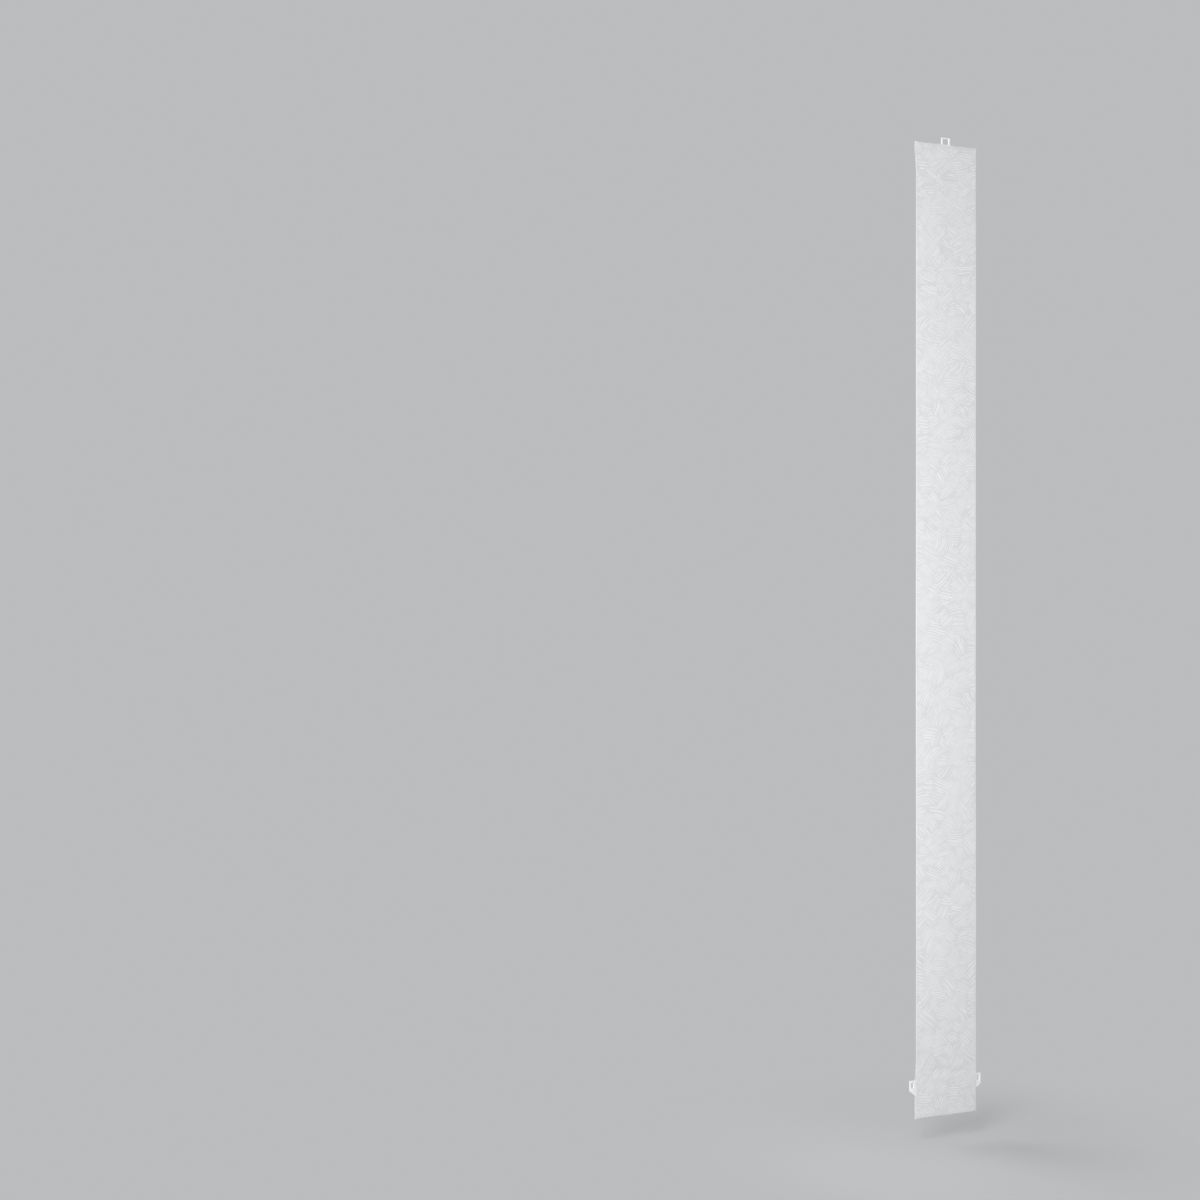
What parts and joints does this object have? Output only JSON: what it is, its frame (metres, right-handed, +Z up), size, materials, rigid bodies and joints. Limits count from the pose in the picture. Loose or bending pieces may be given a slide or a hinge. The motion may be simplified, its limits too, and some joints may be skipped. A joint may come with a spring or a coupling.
{
  "type": "vertical blind vane",
  "caption": "Hanging fabric louvre strip with a moulded hanger in its top pocket and a slotted bottom weight whose ears stick out at the sides.",
  "frame": {"origin": "underside of the hanger's top bar, in the middle of its hook slot", "axes": "+Z up the hanging louvre, X across its width, show face towards -Y, folded hems on +Y"},
  "size_m": [0.1052, 0.0035, 1.2081],
  "materials": {
    "fabric_slat": "matte",
    "top_hanger": "satin",
    "bottom_weight": "satin"
  },
  "bodies": {
    "root": {"fabric_slat": "fabric_slat", "top_hanger": "top_hanger", "bottom_weight": "bottom_weight"}
  },
  "joints": []
}
